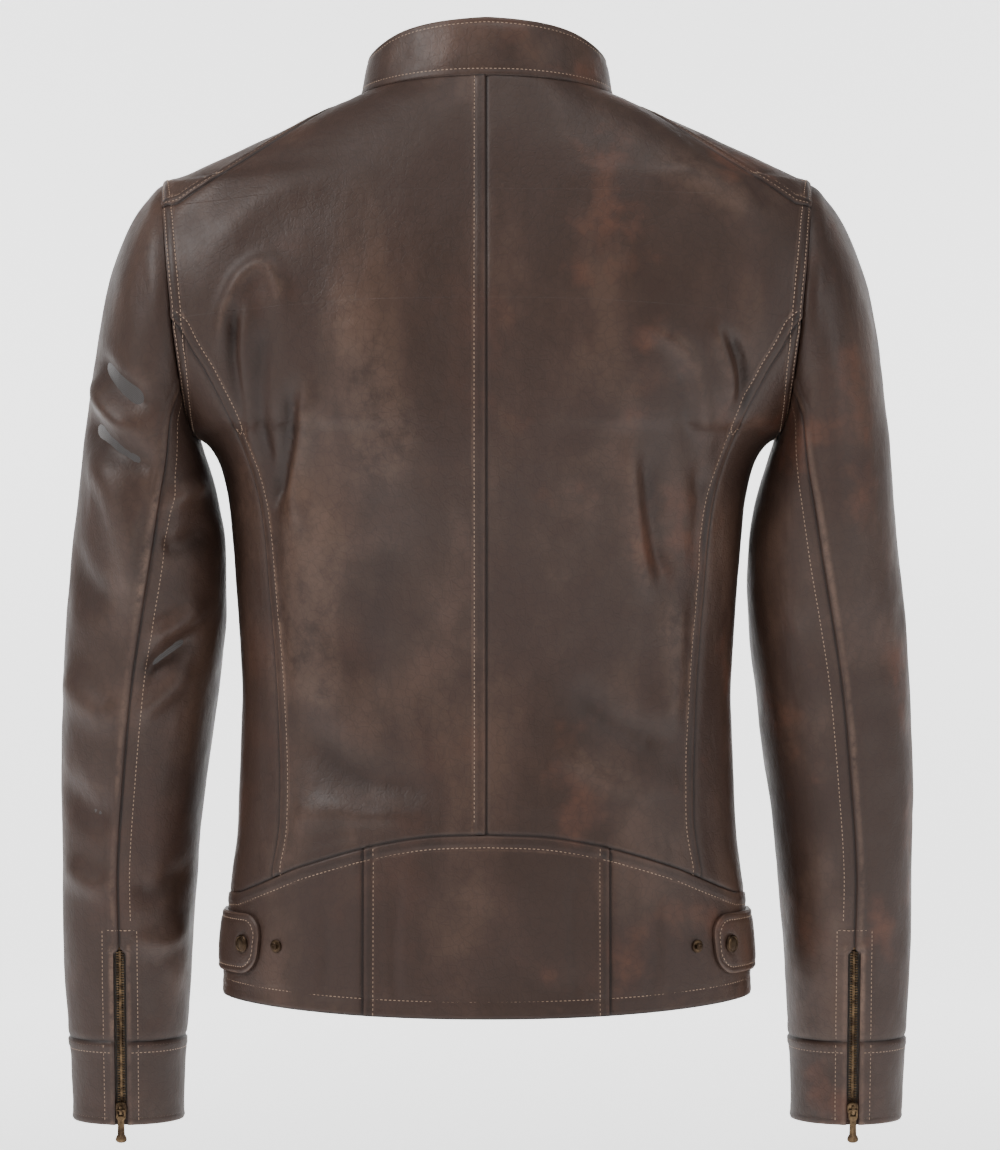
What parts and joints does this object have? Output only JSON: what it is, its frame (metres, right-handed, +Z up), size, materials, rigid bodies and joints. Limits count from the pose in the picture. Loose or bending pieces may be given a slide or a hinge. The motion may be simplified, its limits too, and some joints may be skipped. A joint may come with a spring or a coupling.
{
  "type": "leather riding jacket",
  "caption": "Brown leather riding jacket with stand collar, front zip, princess-seamed back, arched lower back panel, waist straps and zipped cuffs.",
  "frame": {"origin": "centre of the neck opening, level with the collar seam at the nape of the neck", "axes": "+Z up, the front of the jacket faces -Y, +X is towards the wearer's left sleeve"},
  "size_m": [0.616, 0.247, 0.8004],
  "materials": {
    "leather": "semi-gloss waxed pull-up leather, mottled brown with redder patches",
    "leather_dark": "satin leather facing",
    "lining_cloth": "twill lining",
    "zip_tape": "woven zip tape with metal teeth",
    "antique_brass": "antiqued"
  },
  "bodies": {
    "jacket_body": {"back_panel_left": "leather", "shoulder_panel_left": "leather", "lower_back_panel_left": "leather", "front_panel_left": "leather", "side_panel_left": "leather", "pocket_welt_left": "leather", "body_lining_left": "lining_cloth", "pocket_bag_left": "lining_cloth", "pocket_zip_left": "zip_tape", "waist_stud_left": "antique_brass", "waist_spare_stud_left": "antique_brass", "main_zip_left": "zip_tape", "back_panel_right": "leather", "shoulder_panel_right": "leather", "lower_back_panel_right": "leather", "front_panel_right": "leather", "side_panel_right": "leather", "pocket_welt_right": "leather", "body_lining_right": "lining_cloth", "pocket_bag_right": "lining_cloth", "pocket_zip_right": "zip_tape", "waist_stud_right": "antique_brass", "waist_spare_stud_right": "antique_brass", "main_zip_right": "zip_tape", "lower_back_panel_center": "leather", "collar_outer": "leather", "collar_facing": "leather_dark", "hanger_loop": "leather_dark", "collar_stud": "antique_brass"},
    "upper_sleeve_left": {"sleeve_top_upper_left": "leather", "sleeve_under_upper_left": "leather", "sleeve_lining_left": "lining_cloth"},
    "forearm_sleeve_left": {"sleeve_top_lower_left": "leather", "sleeve_under_lower_left": "leather", "cuff_band_left": "leather", "cuff_zip_left": "zip_tape"},
    "waist_strap_left": {"waist_tab_left": "leather", "waist_snap_left": "antique_brass"},
    "pocket_zip_slider_left": {"pocket_zip_slider_left": "antique_brass"},
    "pocket_zip_pull_left": {"pocket_zip_pull_left": "antique_brass"},
    "cuff_zip_slider_left": {"cuff_zip_slider_left": "antique_brass"},
    "cuff_zip_pull_left": {"cuff_zip_pull_left": "antique_brass"},
    "upper_sleeve_right": {"sleeve_top_upper_right": "leather", "sleeve_under_upper_right": "leather", "sleeve_lining_right": "lining_cloth"},
    "forearm_sleeve_right": {"sleeve_top_lower_right": "leather", "sleeve_under_lower_right": "leather", "cuff_band_right": "leather", "cuff_zip_right": "zip_tape"},
    "waist_strap_right": {"waist_tab_right": "leather", "waist_snap_right": "antique_brass"},
    "pocket_zip_slider_right": {"pocket_zip_slider_right": "antique_brass"},
    "pocket_zip_pull_right": {"pocket_zip_pull_right": "antique_brass"},
    "cuff_zip_slider_right": {"cuff_zip_slider_right": "antique_brass"},
    "cuff_zip_pull_right": {"cuff_zip_pull_right": "antique_brass"},
    "main_zip_slider": {"main_zip_slider": "antique_brass"},
    "main_zip_pull": {"main_zip_pull": "antique_brass"},
    "collar_strap": {"collar_tab": "leather", "collar_snap": "antique_brass"}
  },
  "joints": [
    {"name": "shoulder_left", "type": "hinge", "parent": "jacket_body", "child": "upper_sleeve_left", "pos_m": [0.22128, 0, -0.15847], "axis": [-0.9942, 0, 0.108], "range_deg": [-20, 60]},
    {"name": "elbow_left", "type": "hinge", "parent": "upper_sleeve_left", "child": "forearm_sleeve_left", "pos_m": [0.247, -0.034, -0.405], "axis": [-1, 0, 0], "range_deg": [0, 55], "deforming": ["sleeve_lining_left"]},
    {"name": "waist_strap_left", "type": "hinge", "parent": "jacket_body", "child": "waist_strap_left", "pos_m": [0.1912, -0.012, -0.61], "axis": [0, 0, -1], "range_deg": [0, 60]},
    {"name": "pocket_zip_slide_left", "type": "slide", "parent": "jacket_body", "child": "pocket_zip_slider_left", "axis": [0.0825, -0.009, -0.9966], "range_m": [0, 0.125]},
    {"name": "pocket_zip_pull_left", "type": "hinge", "parent": "pocket_zip_slider_left", "child": "pocket_zip_pull_left", "pos_m": [0.11444, -0.0978, -0.4393], "axis": [-0.8803, -0.4695, -0.0686], "range_deg": [0, 150]},
    {"name": "cuff_zip_slide_left", "type": "slide", "parent": "forearm_sleeve_left", "child": "cuff_zip_slider_left", "axis": [0, 0.1249, 0.9922], "range_m": [0, 0.1]},
    {"name": "cuff_zip_pull_left", "type": "hinge", "parent": "cuff_zip_slider_left", "child": "cuff_zip_pull_left", "pos_m": [0.263, 0.00518, -0.73454], "axis": [1, 0, 0], "range_deg": [0, 150]},
    {"name": "shoulder_right", "type": "hinge", "parent": "jacket_body", "child": "upper_sleeve_right", "pos_m": [-0.22128, 0, -0.15847], "axis": [-0.9942, 0, -0.108], "range_deg": [-20, 60]},
    {"name": "elbow_right", "type": "hinge", "parent": "upper_sleeve_right", "child": "forearm_sleeve_right", "pos_m": [-0.247, -0.034, -0.405], "axis": [-1, 0, 0], "range_deg": [0, 55], "deforming": ["sleeve_lining_right"]},
    {"name": "waist_strap_right", "type": "hinge", "parent": "jacket_body", "child": "waist_strap_right", "pos_m": [-0.1912, -0.012, -0.61], "axis": [0, 0, 1], "range_deg": [0, 60]},
    {"name": "pocket_zip_slide_right", "type": "slide", "parent": "jacket_body", "child": "pocket_zip_slider_right", "axis": [-0.0825, -0.009, -0.9966], "range_m": [0, 0.125]},
    {"name": "pocket_zip_pull_right", "type": "hinge", "parent": "pocket_zip_slider_right", "child": "pocket_zip_pull_right", "pos_m": [-0.11444, -0.0978, -0.4393], "axis": [-0.8803, 0.4695, 0.0686], "range_deg": [0, 150]},
    {"name": "cuff_zip_slide_right", "type": "slide", "parent": "forearm_sleeve_right", "child": "cuff_zip_slider_right", "axis": [0, 0.1249, 0.9922], "range_m": [0, 0.1]},
    {"name": "cuff_zip_pull_right", "type": "hinge", "parent": "cuff_zip_slider_right", "child": "cuff_zip_pull_right", "pos_m": [-0.263, 0.00518, -0.73454], "axis": [1, 0, 0], "range_deg": [0, 150]},
    {"name": "main_zip_slide", "type": "slide", "parent": "jacket_body", "child": "main_zip_slider", "axis": [0, -0.0515, -0.9987], "range_m": [0, 0.56]},
    {"name": "main_zip_pull", "type": "hinge", "parent": "main_zip_slider", "child": "main_zip_pull", "pos_m": [0, -0.1017, -0.07776], "axis": [-1, 0, 0], "range_deg": [0, 110]},
    {"name": "collar_strap", "type": "hinge", "parent": "jacket_body", "child": "collar_strap", "pos_m": [0.0275, -0.1, -0.055], "axis": [0, 0, 1], "range_deg": [0, 100]}
  ]
}
